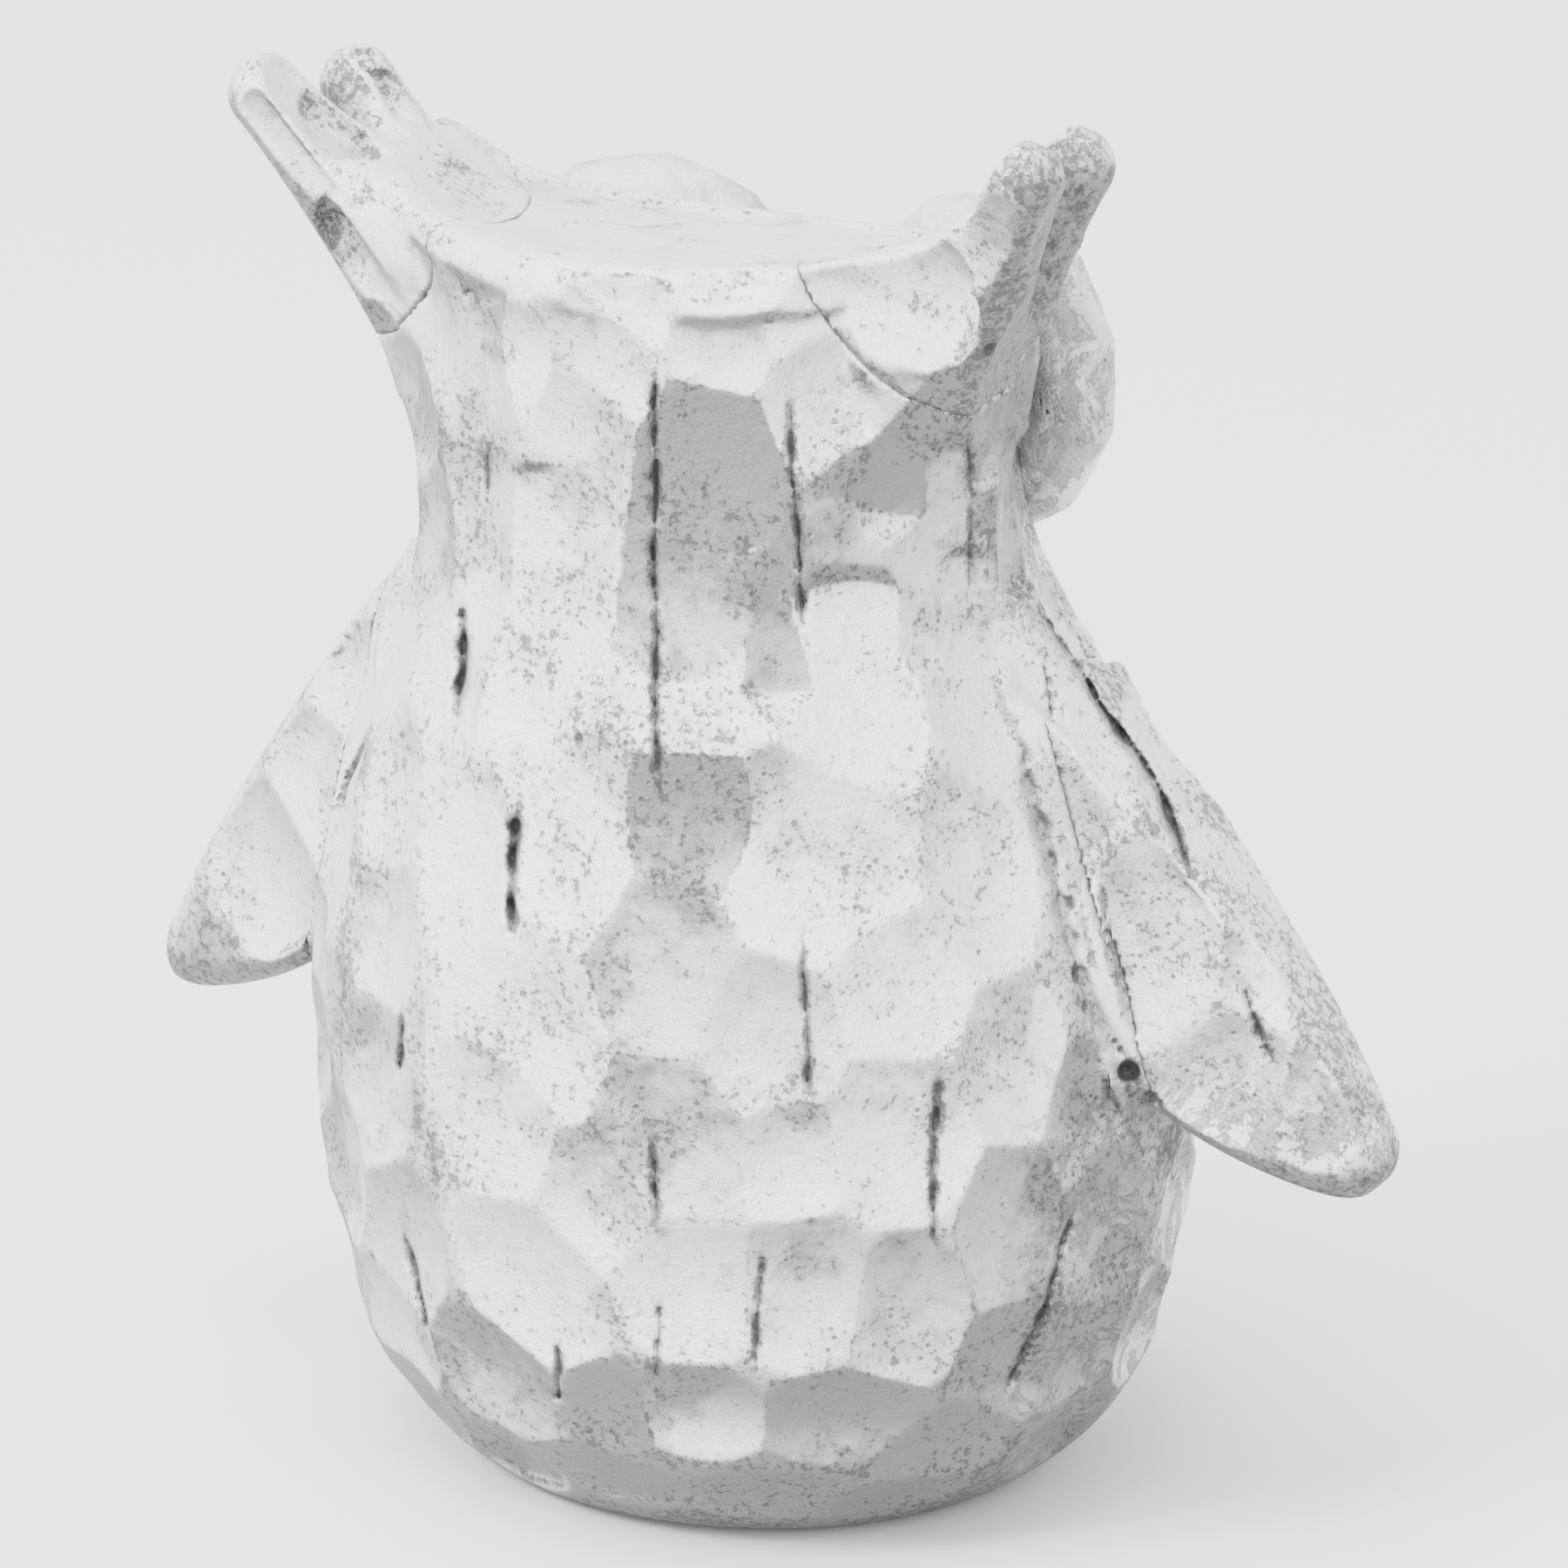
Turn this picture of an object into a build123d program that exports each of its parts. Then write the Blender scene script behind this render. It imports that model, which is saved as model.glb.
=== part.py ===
"""A standing owl ornament: a hollow cast body finished in silver leaf, with two swept ear tufts,
two half-open wings, two large round eye discs and a beak bonded on as separate castings.

The frame is in millimetres, +Z up, with the origin at the centre of the felt under the base.
The face looks along -Y, and the owl's own left is +X.
"""

from build123d import *
from math import asin, cos, radians, sin
import os

os.makedirs("parts", exist_ok=True)

# ---------------------------------------------------------------- driving dimensions
FELT_THICKNESS = 2.0
FELT_RADIUS = 50.0
WALL = 6.0
HEAD_TOP = 302.0

# Height, half width, half depth and set-back of each level cross section of the body.
BODY_STATIONS = [
    (FELT_THICKNESS, 67, 62, 0),
    (18, 85, 76, 0),
    (50, 97, 86, 0),
    (95, 101, 90, 0),
    (145, 92, 82, 5),
    (200, 73, 62, 14),
    (245, 65, 52, 22),
    (HEAD_TOP, 73, 53, 24),
]

# The top of the head is a trough that runs front to back and dips towards the face.
CREST_HEIGHT = 284.0
CREST_BACK = 76.0
TROUGH_RADIUS = 120.0
TROUGH_DIP = 6.5

# Base: a disc closes the casting's mouth from below and seats against a ledge.
PLATE_RADIUS = 46.0
PLATE_THICKNESS = 6.0
PLATE_GAP = 0.2
LEDGE_RADIUS = 40.0
FLOOR_TOP = FELT_THICKNESS + PLATE_THICKNESS + 5.0
VENT_RADIUS = 6.0
VENT_FLANGE_RADIUS = 9.0
VENT_FLANGE_THICKNESS = 2.0

# Ear tufts: a horn that flattens into two lobes, with a short brow lobe in front of it.
# Points are on the owl's left side.
EAR_ROOT = Vector(42, 20, 240)
EAR_BACK_TIP = Vector(93, 56, 313)
EAR_FRONT_TIP = Vector(90, 20, 316)
EAR_BROW_TIP = Vector(75, -2, 290)
EAR_ROOT_RADIUS = 23.0
EAR_STATIONS = [(0, 22, 22), (0.5, 26, 18), (0.85, 27, 12), (0.96, 25, 9), (1.02, 18, 4)]
EAR_BROW_RADIUS = 9.0
EAR_TIP_ROUNDING = 1.5
EAR_GROOVE_RADIUS = 8.0
EAR_GROOVE_LENGTH = 32.0
EAR_GROOVE_OFFSET = 13.0
EAR_CROWN = (EAR_BACK_TIP + EAR_FRONT_TIP) / 2

# Wings: a paddle whose faces close towards the tip; its root is cut to sit on the body.
WING_SHOULDER = (56, 210)
WING_BOW = [(82, 192), (107, 162), (132, 127)]
WING_TIP_TOP = (148, 102)
WING_TIP = (153, 91)
WING_TIP_BOTTOM = (147, 82)
WING_HEM = (118, 90)
WING_ARMPIT = (92, 110)
WING_ROOT_THICKNESS = 46.0
WING_ROOT_SET_BACK = 4.0
WING_TIP_THICKNESS = 22.0
WING_EDGE_ROUNDING = 8.0

# Steel pins that hold the bonded castings.
PIN_RADIUS = 2.5
PIN_HOLE_RADIUS = 2.6
WING_PIN_LENGTH = 26.0
WING_PIN_SPOTS = [(85, 152), (91, 124)]
EAR_PIN_LENGTH = 34.0
EAR_PIN_START = 0.30

# Eye discs: round dishes turned a little outward, with a domed pupil in each.
EYE_RADIUS = 37.5
EYE_CENTRE = Vector(41.6, -27, 245)
EYE_OUTWARD = 20.0
EYE_BACK = 9.0
EYE_RIM_HEIGHT = 8.0
EYE_DISH_DEPTH = 5.0
PUPIL_RADIUS = 13.0
PUPIL_HEIGHT = 8.0

# Beak: a hooked wedge that hangs in the gap below the discs.
BEAK_TOP = 236.0
BEAK_TIP = 198.0
BEAK_HALF_WIDTH = 10.0
BEAK_REACH = -68.0
BEAK_ROOT = -26.0


# ---------------------------------------------------------------- shared forms
def trough(drop):
    """The solid above the head that hollows its top, lowered by drop to follow inside the wall."""
    dip = radians(TROUGH_DIP)
    centre = (0, CREST_BACK, CREST_HEIGHT + TROUGH_RADIUS - drop)
    with BuildPart() as cutter:
        with BuildSketch(Plane(origin=centre, x_dir=(1, 0, 0), z_dir=(0, -cos(dip), -sin(dip)))):
            Circle(TROUGH_RADIUS)
        extrude(amount=220, both=True)
    return cutter.part


def body_form(inset, lowest):
    """The body's outer form, or that form taken in by inset, from a given height up."""
    stations = [station for station in BODY_STATIONS if station[0] > lowest]
    below = [station for station in BODY_STATIONS if station[0] <= lowest][-1]
    stations.insert(0, (lowest, *below[1:]))
    with BuildPart() as form:
        for height, half_width, half_depth, set_back in stations:
            with BuildSketch(Plane.XY.offset(height)):
                with Locations((0, set_back)):
                    Ellipse(half_width - inset, half_depth - inset)
        loft()
        add(trough(inset), mode=Mode.SUBTRACT)
    return form.part


def pin_axis_plane(start, direction):
    """A plane at start whose normal runs along direction."""
    return Plane(origin=start, z_dir=direction)


def pins(radius, extra):
    """The four wing pins and two ear pins as cylinders, each longer by extra at both ends."""
    wing_pins, ear_pins = [], []
    for side in (1, -1):
        for start, height in WING_PIN_SPOTS:
            plane = pin_axis_plane((side * (start - extra), 0, height), (side, 0, 0))
            wing_pins.append(plane)
        root = Vector(side * EAR_ROOT.X, EAR_ROOT.Y, EAR_ROOT.Z)
        tip = Vector(side * EAR_CROWN.X, EAR_CROWN.Y, EAR_CROWN.Z)
        along = (tip - root).normalized()
        start = root + (tip - root) * EAR_PIN_START - along * extra
        ear_pins.append(pin_axis_plane(start, along))
    with BuildPart() as wing_set:
        for plane in wing_pins:
            with BuildSketch(plane):
                Circle(radius)
            extrude(amount=WING_PIN_LENGTH + 2 * extra)
    with BuildPart() as ear_set:
        for plane in ear_pins:
            with BuildSketch(plane):
                Circle(radius)
            extrude(amount=EAR_PIN_LENGTH + 2 * extra)
    return wing_set.part, ear_set.part


def eye_plane(side):
    """The plane of an eye disc: its origin is the disc's centre and its normal looks out of the face."""
    turn = radians(EYE_OUTWARD)
    centre = Vector(side * EYE_CENTRE.X, EYE_CENTRE.Y, EYE_CENTRE.Z)
    return Plane(origin=centre, x_dir=(0, 0, 1), z_dir=(side * sin(turn), -cos(turn), 0))


outer_form = body_form(0, FELT_THICKNESS)
cavity_form = body_form(WALL, FLOOR_TOP)
wing_pin_holes, ear_pin_holes = pins(PIN_HOLE_RADIUS, 0.3)
wing_pin_set, ear_pin_set = pins(PIN_RADIUS, 0)

finished = []

# ---------------------------------------------------------------- body shell
with BuildPart() as body_shell:
    add(outer_form)
    add(cavity_form, mode=Mode.SUBTRACT)
    with BuildSketch(Plane.XY.offset(FELT_THICKNESS)):
        Circle(PLATE_RADIUS + PLATE_GAP)
    extrude(amount=PLATE_THICKNESS, mode=Mode.SUBTRACT)
    with BuildSketch(Plane.XY.offset(FELT_THICKNESS)):
        Circle(LEDGE_RADIUS)
    extrude(amount=FLOOR_TOP - FELT_THICKNESS + 1, mode=Mode.SUBTRACT)
    add(wing_pin_holes, mode=Mode.SUBTRACT)
    add(ear_pin_holes, mode=Mode.SUBTRACT)
finished.append(("body_shell", body_shell))

# ---------------------------------------------------------------- base plate, plug and felt
with BuildPart() as base_plate:
    with BuildSketch(Plane.XY.offset(FELT_THICKNESS)):
        Circle(PLATE_RADIUS)
    extrude(amount=PLATE_THICKNESS)
    with Locations(Plane.XY.offset(FELT_THICKNESS).rotated((180, 0, 0))):
        CounterBoreHole(
            radius=VENT_RADIUS,
            counter_bore_radius=VENT_FLANGE_RADIUS,
            counter_bore_depth=VENT_FLANGE_THICKNESS,
            depth=PLATE_THICKNESS,
        )
finished.append(("base_plate", base_plate))

with BuildPart() as vent_plug:
    with BuildSketch(Plane.XY.offset(FELT_THICKNESS)):
        Circle(VENT_FLANGE_RADIUS)
    extrude(amount=VENT_FLANGE_THICKNESS)
    with BuildSketch(Plane.XY.offset(FELT_THICKNESS + VENT_FLANGE_THICKNESS)):
        Circle(VENT_RADIUS)
    extrude(amount=PLATE_THICKNESS)
    chamfer(vent_plug.faces().sort_by(Axis.Z)[-1].edges(), 1.5)
finished.append(("vent_plug", vent_plug))

with BuildPart() as felt_pad:
    with BuildSketch():
        Circle(FELT_RADIUS)
    extrude(amount=FELT_THICKNESS)
finished.append(("felt_pad", felt_pad))


# ---------------------------------------------------------------- eyes
def eye_disc_form(side):
    """A round dish with a rolled rim, turned about its own normal."""
    plane = eye_plane(side)
    section = Plane(origin=plane.origin, x_dir=plane.x_dir, z_dir=plane.y_dir)
    rise = 1 if section.y_dir.dot(plane.z_dir) > 0 else -1
    with BuildPart() as disc:
        with BuildSketch(section):
            with BuildLine():
                Polyline(
                    (PUPIL_RADIUS, 0),
                    (0, 0),
                    (0, -rise * EYE_BACK),
                    (EYE_RADIUS - 10, -rise * EYE_BACK),
                )
                ThreePointArc(
                    (EYE_RADIUS - 10, -rise * EYE_BACK),
                    (EYE_RADIUS, 0),
                    (EYE_RADIUS - 7, rise * EYE_RIM_HEIGHT),
                )
                ThreePointArc(
                    (EYE_RADIUS - 7, rise * EYE_RIM_HEIGHT),
                    (PUPIL_RADIUS + 12, rise * (EYE_RIM_HEIGHT - EYE_DISH_DEPTH)),
                    (PUPIL_RADIUS, 0),
                )
            make_face()
        revolve(axis=Axis(plane.origin, plane.z_dir))
    return disc.part


def pupil_form(side):
    """A dome that stands on the dish's flat middle."""
    plane = eye_plane(side)
    section = Plane(origin=plane.origin, x_dir=plane.x_dir, z_dir=plane.y_dir)
    rise = 1 if section.y_dir.dot(plane.z_dir) > 0 else -1
    foot = PUPIL_RADIUS - 0.2
    dome_radius = (foot**2 + PUPIL_HEIGHT**2) / (2 * PUPIL_HEIGHT)
    half_angle = asin(foot / dome_radius) / 2
    shoulder = PUPIL_HEIGHT - dome_radius + dome_radius * cos(half_angle)
    with BuildPart() as pupil:
        with BuildSketch(section):
            with BuildLine():
                ThreePointArc(
                    (foot, 0),
                    (dome_radius * sin(half_angle), rise * shoulder),
                    (0, rise * PUPIL_HEIGHT),
                )
                Polyline((0, rise * PUPIL_HEIGHT), (0, 0), (foot, 0))
            make_face()
        revolve(axis=Axis(plane.origin, plane.z_dir))
    return pupil.part


eye_forms = {1: eye_disc_form(1), -1: eye_disc_form(-1)}

with BuildPart() as left_eye_disc:
    add(eye_forms[1])
    add(outer_form, mode=Mode.SUBTRACT)
finished.append(("left_eye_disc", left_eye_disc))

with BuildPart() as right_eye_disc:
    add(eye_forms[-1])
    add(outer_form, mode=Mode.SUBTRACT)
finished.append(("right_eye_disc", right_eye_disc))

with BuildPart() as left_pupil:
    add(pupil_form(1))
finished.append(("left_pupil", left_pupil))

with BuildPart() as right_pupil:
    add(pupil_form(-1))
finished.append(("right_pupil", right_pupil))


# ---------------------------------------------------------------- ear tufts
def ear_plane(share):
    """A plane across the left horn, part of the way from its root to its crown."""
    along = (EAR_CROWN - EAR_ROOT).normalized()
    spread = EAR_BACK_TIP - EAR_FRONT_TIP
    across = spread - along * spread.dot(along)
    origin = EAR_ROOT + (EAR_CROWN - EAR_ROOT) * share
    return Plane(origin=origin, x_dir=across.normalized(), z_dir=along)


with BuildPart() as ear_form:
    for share, half_spread, half_thickness in EAR_STATIONS:
        with BuildSketch(ear_plane(share)):
            Ellipse(half_spread, half_thickness)
    loft()
    fillet(ear_form.faces().sort_by(Axis.Z)[-1].edges(), EAR_TIP_ROUNDING)
    brow_reach = EAR_BROW_TIP - EAR_ROOT
    with Locations(Plane(origin=EAR_ROOT, z_dir=brow_reach.normalized())):
        Cone(
            EAR_ROOT_RADIUS,
            EAR_BROW_RADIUS,
            brow_reach.length,
            align=(Align.CENTER, Align.CENTER, Align.MIN),
        )
    crown_plane = ear_plane(1)
    outward = crown_plane.y_dir if crown_plane.y_dir.X > 0 else -crown_plane.y_dir
    groove_origin = EAR_CROWN + outward * EAR_GROOVE_OFFSET
    with BuildSketch(Plane(origin=groove_origin, x_dir=crown_plane.x_dir, z_dir=crown_plane.z_dir)):
        Circle(EAR_GROOVE_RADIUS)
    extrude(amount=EAR_GROOVE_LENGTH, both=True, mode=Mode.SUBTRACT)
    add(eye_disc_form(1), mode=Mode.SUBTRACT)
    add(outer_form, mode=Mode.SUBTRACT)

with BuildPart() as left_ear_tuft:
    add(ear_form.part)
    add(ear_pin_holes, mode=Mode.SUBTRACT)
finished.append(("left_ear_tuft", left_ear_tuft))

with BuildPart() as right_ear_tuft:
    add(mirror(ear_form.part, about=Plane.YZ, mode=Mode.PRIVATE))
    add(ear_pin_holes, mode=Mode.SUBTRACT)
finished.append(("right_ear_tuft", right_ear_tuft))

# ---------------------------------------------------------------- wings
with BuildPart() as wing_form:
    with BuildSketch(Plane.XZ):
        with BuildLine():
            Spline(WING_SHOULDER, *WING_BOW, WING_TIP_TOP)
            ThreePointArc(WING_TIP_TOP, WING_TIP, WING_TIP_BOTTOM)
            Spline(WING_TIP_BOTTOM, WING_HEM, WING_ARMPIT)
            Polyline(WING_ARMPIT, (WING_SHOULDER[0], WING_ARMPIT[1]), WING_SHOULDER)
        make_face()
    extrude(amount=60, both=True)
    with BuildSketch(Plane.XY.offset(WING_TIP_BOTTOM[1] - 10)):
        with BuildLine():
            Polyline(
                (WING_SHOULDER[0] - 5, WING_ROOT_SET_BACK - WING_ROOT_THICKNESS / 2),
                (WING_TIP[0] + 5, -WING_TIP_THICKNESS / 2),
                (WING_TIP[0] + 5, WING_TIP_THICKNESS / 2),
                (WING_SHOULDER[0] - 5, WING_ROOT_SET_BACK + WING_ROOT_THICKNESS / 2),
                close=True,
            )
        make_face()
    extrude(amount=WING_SHOULDER[1], mode=Mode.INTERSECT)
    faces = [wing_form.faces().sort_by(Axis.Y)[0], wing_form.faces().sort_by(Axis.Y)[-1]]
    rims = [edge for face in faces for edge in face.edges() if edge.center().X > WING_SHOULDER[0] + 1]
    rims = [edge for edge in rims if edge.length > WING_EDGE_ROUNDING]
    fillet(rims, WING_EDGE_ROUNDING)
    add(outer_form, mode=Mode.SUBTRACT)

with BuildPart() as left_wing:
    add(wing_form.part)
    add(wing_pin_holes, mode=Mode.SUBTRACT)
finished.append(("left_wing", left_wing))

with BuildPart() as right_wing:
    add(mirror(wing_form.part, about=Plane.YZ, mode=Mode.PRIVATE))
    add(wing_pin_holes, mode=Mode.SUBTRACT)
finished.append(("right_wing", right_wing))


# ---------------------------------------------------------------- beak
with BuildPart() as beak:
    with BuildSketch(Plane.YZ) as beak_profile:
        with BuildLine():
            ThreePointArc((BEAK_ROOT, BEAK_TOP), (BEAK_REACH + 8, BEAK_TOP - 8), (BEAK_REACH + 2, BEAK_TIP))
            Polyline((BEAK_REACH + 2, BEAK_TIP), (BEAK_ROOT, BEAK_TIP + 14), (BEAK_ROOT, BEAK_TOP))
        make_face()
    extrude(amount=BEAK_HALF_WIDTH, both=True, taper=12)
    add(outer_form, mode=Mode.SUBTRACT)
    for form in eye_forms.values():
        add(form, mode=Mode.SUBTRACT)
finished.append(("beak", beak))

# ---------------------------------------------------------------- pins
with BuildPart() as wing_pins:
    add(wing_pin_set)
finished.append(("wing_pins", wing_pins))

with BuildPart() as ear_pins:
    add(ear_pin_set)
finished.append(("ear_pins", ear_pins))

for name, piece in finished:
    piece.part.label = name
    export_step(piece.part, f"parts/{name}.step")
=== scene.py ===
"""A silver-leafed owl ornament. Its skin is one form, blended from body, ears and wings, then cut by
rows of gouge marks and opened by drying splits. The castings are parted along their glue joints."""

import math
import random

import bpy
import numpy as np
import openvdb
from bpy.props import FloatProperty, FloatVectorProperty, IntProperty, PointerProperty
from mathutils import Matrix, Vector


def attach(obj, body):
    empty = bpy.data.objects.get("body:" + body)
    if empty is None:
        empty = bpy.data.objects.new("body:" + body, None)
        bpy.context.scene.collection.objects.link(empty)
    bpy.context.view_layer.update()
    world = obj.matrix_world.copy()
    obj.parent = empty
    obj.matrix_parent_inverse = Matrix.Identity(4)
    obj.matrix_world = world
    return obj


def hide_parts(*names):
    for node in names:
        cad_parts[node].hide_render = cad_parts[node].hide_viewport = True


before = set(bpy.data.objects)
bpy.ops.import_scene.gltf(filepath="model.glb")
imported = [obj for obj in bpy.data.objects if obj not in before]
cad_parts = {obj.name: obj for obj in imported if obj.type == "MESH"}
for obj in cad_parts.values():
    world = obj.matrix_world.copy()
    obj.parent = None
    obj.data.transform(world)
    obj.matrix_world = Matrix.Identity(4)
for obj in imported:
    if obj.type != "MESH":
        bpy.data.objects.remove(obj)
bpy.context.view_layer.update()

bl_info = {
    "name": "Silver Leaf Owl",
    "version": (1, 0, 0),
    "blender": (4, 5, 0),
    "location": "View3D > Sidebar > Owl",
    "description": "Carves, parts and gilds a cast owl ornament",
    "category": "Add Mesh",
}

MM = 0.001
SIDES = ((1, "left"), (-1, "right"))

# The back is marked out square-on from this many degrees round towards the owl's right.
BACK_TURN = math.radians(28)


# ---- settings
def length(name, about, usual, least, most):
    """A setting of the carving, given in millimetres."""
    return FloatProperty(
        name=name, description=about, default=usual * MM, min=least * MM, max=most * MM,
        unit="LENGTH", precision=5,
    )


def colour(name, about, usual):
    """A setting of the finish."""
    return FloatVectorProperty(
        name=name, description=about, subtype="COLOR", size=3, default=usual, min=0, max=1,
    )


class OwlForm(bpy.types.PropertyGroup):
    """Sizes of the carving."""

    cell: length("Cell", "Spacing of the field the form is cut from", 0.85, 0.5, 4)
    gouge_depth: length("Gouge depth", "How far a usual mark cuts below the smooth form", 3.3, 0, 6)
    ridge_softness: length("Ridge softness", "Rounding of the ridge between marks", 0.45, 0.1, 4)
    face_limit: IntProperty(
        name="Triangles", description="Most triangles that one casting keeps",
        default=190000, min=10000, max=200000,
    )
    seed: IntProperty(name="Seed", description="Variation of the marks and flutes", default=7)


class OwlFinish(bpy.types.PropertyGroup):
    """Colours of the finish."""

    leaf: colour("Leaf", "Bright metal leaf", (0.78, 0.78, 0.775))
    # The worn leaf colour is also the dark of the painted shade on down-turned and darkest-listed facets.
    worn_and_shaded_leaf: colour("Worn leaf", "Rubbed leaf with clay showing through", (0.19, 0.19, 0.187))
    tarnish: colour("Tarnish", "Dark bole and tarnish in pits and splits", (0.045, 0.045, 0.045))
    felt: colour("Felt", "Felt under the base", (0.05, 0.05, 0.055))
    floor: colour("Floor", "Studio floor", (0.68, 0.68, 0.68))


# ---- the smooth form, in millimetres
# Height, half width, half depth and set-back of the body at each level.
BODY_LEVELS = [
    (2, 67, 62, 0),
    (8, 76, 69, 0),
    (18, 85, 76, 0),
    (32, 92, 82, 0),
    (50, 97, 86, 0),
    (75, 100, 89, 0),
    (100, 101, 90, 0),
    (125, 98, 88, 2),
    (150, 91, 81, 6),
    (180, 80, 70, 11),
    (210, 70, 60, 15),
    (240, 65, 53, 21),
    (265, 65, 52, 22),
    (300, 71, 53, 23),
]
# Root, root radius, tip and tip radius of the lobes in each ear tuft, on the owl's left.
EAR_LOBES = [
    ((42, 19, 238), 25, (88.5, 52, 305.5), 8.5),
    ((42, 17, 238), 25, (85, 21, 302), 8.5),
    ((42, 12, 242), 24, (70, 2, 285), 9),
]
# The left wing's outline, seen from the front: distance out and height.
WING_OUTLINE = [
    (40, 212), (60, 208), (82, 192), (107, 161.5), (132.5, 126.5), (145.5, 105), (151.5, 92),
    (148.5, 83.5), (138, 83), (118, 90), (101, 101), (92, 116), (60, 124), (40, 124),
]
# How thin an ear lobe stays before it widens to its root.
LOBE_TAPER = 1.35
# The wings grow thinner over their span: set-back and half depth at the root, and their change.
WING_ROOT = 75.0
WING_SPAN = 75.0
WING_SET_BACK = (6, 7)
WING_HALF_DEPTH = (20, 9)
WING_EDGE = 8.0
# The crown's crest, its dip towards the face and its rise to the ears, which is steeper in front.
CREST_HEIGHT = 284.0
CREST_BACK = 76.0
CROWN_DIP = 0.11
CROWN_RISE = 3.1e-5
CROWN_RISE_FRONT = 1.9e-5
CROWN_FRONT = 22
CROWN_FRONT_DEPTH = 20.0
CROWN_STEEPNESS = 1.15
TIP_START = 72.0
TIP_RISE = 0.5
BASE_HEIGHT = 2.0
# Fillets between the lobes, the ears, the wings and the base, and the rounding of the crown's edge,
# which is fuller within CROWN_MIDDLE of the middle.
LOBE_BLEND = 3.0
EAR_BLEND = 14.0
WING_BLEND = 7.0
BASE_BLEND = 1.0
CROWN_BLEND = (6, 4)
CROWN_MIDDLE = 42
CROWN_LIFT = 0.6
# The standard deviation, in millimetres, of the smoothing between the body's levels.
LEVEL_SMOOTHING = 4.0
# The corners of the space that holds the owl, its left ear tuft and its left wing.
OWL_SPACE = ((-160.0, -98.0, -2.0), (160.0, 98.0, 324.0))
EAR_SPACE = ((26, -20, 242), (140, 98, 324))
WING_SPACE = ((66, -60, 70), (160, 60, 222))

# Where the castings part: a ball joint round each ear tuft and a plane at each wing's root.
EAR_JOINT = (85.0, 40.0, 300.0)
EAR_JOINT_RADIUS = 50.0
WING_JOINT = (0.961, 0.275, 129.0)
WING_JOINT_TOP = 216.0

# The casting's mouth, which takes the base plate.
MOUTH_RADIUS = 46.4
MOUTH_TOP = 8.3

# Eye discs: centre, outward turn and the dish's section from its middle, over the rim, to its back.
EYE_CENTRE = (41.6, -27.0, 245.0)
EYE_TURN = math.radians(20)
EYE_SECTION = [
    (0, 0), (6, 0), (13, 0), (17, 0.9), (21, 2.1), (25, 3.6), (28, 5.6), (30.5, 8), (33.5, 7.4),
    (36, 4.2), (37.3, 0.5), (36.6, -3.2), (33.5, -6.6), (27.5, -9), (14, -9), (0, -9),
]
PUPIL_SECTION = [
    (0, 8), (3, 7.8), (6, 6.9), (9, 5.1), (11.2, 2.8), (12.7, -0.3), (6, -0.3), (0, -0.3),
]
EYE_FACES = 300
EYE_FLUTES = 22
PUPIL_FACETS = 7

# The beak from the side: how far forward and how high, root first.
BEAK_OUTLINE = [
    (-26, 236), (-40, 236), (-52, 231.5), (-61, 224), (-66, 213), (-67, 203), (-66, 197.5),
    (-62, 200), (-52, 206), (-40, 210), (-26, 212),
]
BEAK_HALF_WIDTH = 10.0
BEAK_ROOT = -30
BEAK_LENGTH = 38
BEAK_NARROWING = 0.45
BEAK_ROUNDING = 5.0
BEAK_SPACE = ((-13.0, -72.0, 192.0), (13.0, -22.0, 241.0))
BEAK_CELL = 0.5
# Scoops along its flanks: the ball that cuts them, how deep, and where (forward, height).
SCOOP_RADIUS = 22
SCOOP_DEPTH = 1.4
SCOOP_SOFTNESS = 0.7
BEAK_SCOOPS = ((-36, 223), (-47, 221), (-57, 214), (-62, 204))


def soft_min(a, b, k):
    """The smaller of two fields, with a fillet of about k where they meet."""
    h = np.clip(0.5 + 0.5 * (b - a) / k, 0, 1)
    return b + (a - b) * h - k * h * (1 - h)


def soft_max(a, b, k):
    """The larger of two fields, rounded over about k where they meet."""
    return -soft_min(-a, -b, k)


def body_profile(z):
    """Half width, half depth, set-back and slope of the body's side at heights z."""
    levels = np.array(BODY_LEVELS, float)
    heights = np.arange(-20.0, 340.0)
    reach = round(3 * LEVEL_SMOOTHING)
    kernel = np.exp(-((np.arange(-reach, reach + 1) / LEVEL_SMOOTHING) ** 2) / 2)
    kernel /= kernel.sum()
    curves = []
    for column in (1, 2, 3):
        curve = np.interp(heights, levels[:, 0], levels[:, column])
        slope = (levels[1, column] - levels[0, column]) / (levels[1, 0] - levels[0, 0])
        below = heights < levels[0, 0]
        curve[below] = levels[0, column] + (heights[below] - levels[0, 0]) * slope
        curves.append(np.convolve(np.pad(curve, reach, mode="edge"), kernel, mode="valid"))
    slope = np.gradient(curves[0], heights)
    return [np.interp(z, heights, curve).astype(np.float32) for curve in (*curves, slope)]


def body_field(x, y, z):
    """Distance to the body, negative inside."""
    half_width, half_depth, set_back, slope = body_profile(z)
    px = x / half_width
    py = (y - set_back) / half_depth
    ratio = np.sqrt(px * px + py * py) + 1e-6
    steep = np.sqrt((px / half_width) ** 2 + (py / half_depth) ** 2) / ratio + 1e-6
    return (ratio - 1) / steep / np.sqrt(1 + slope * slope)


def lobe_field(x, y, z, root, root_radius, tip, tip_radius):
    """Distance to one tapering lobe of an ear tuft."""
    ax, ay, az = root
    dx, dy, dz = (t - r for t, r in zip(tip, root))
    length2 = dx * dx + dy * dy + dz * dz
    share = np.clip(((x - ax) * dx + (y - ay) * dy + (z - az) * dz) / length2, 0, 1)
    radius = tip_radius + (root_radius - tip_radius) * (1 - share) ** LOBE_TAPER
    away = (x - ax - share * dx) ** 2 + (y - ay - share * dy) ** 2 + (z - az - share * dz) ** 2
    return np.sqrt(away) - radius


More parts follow.
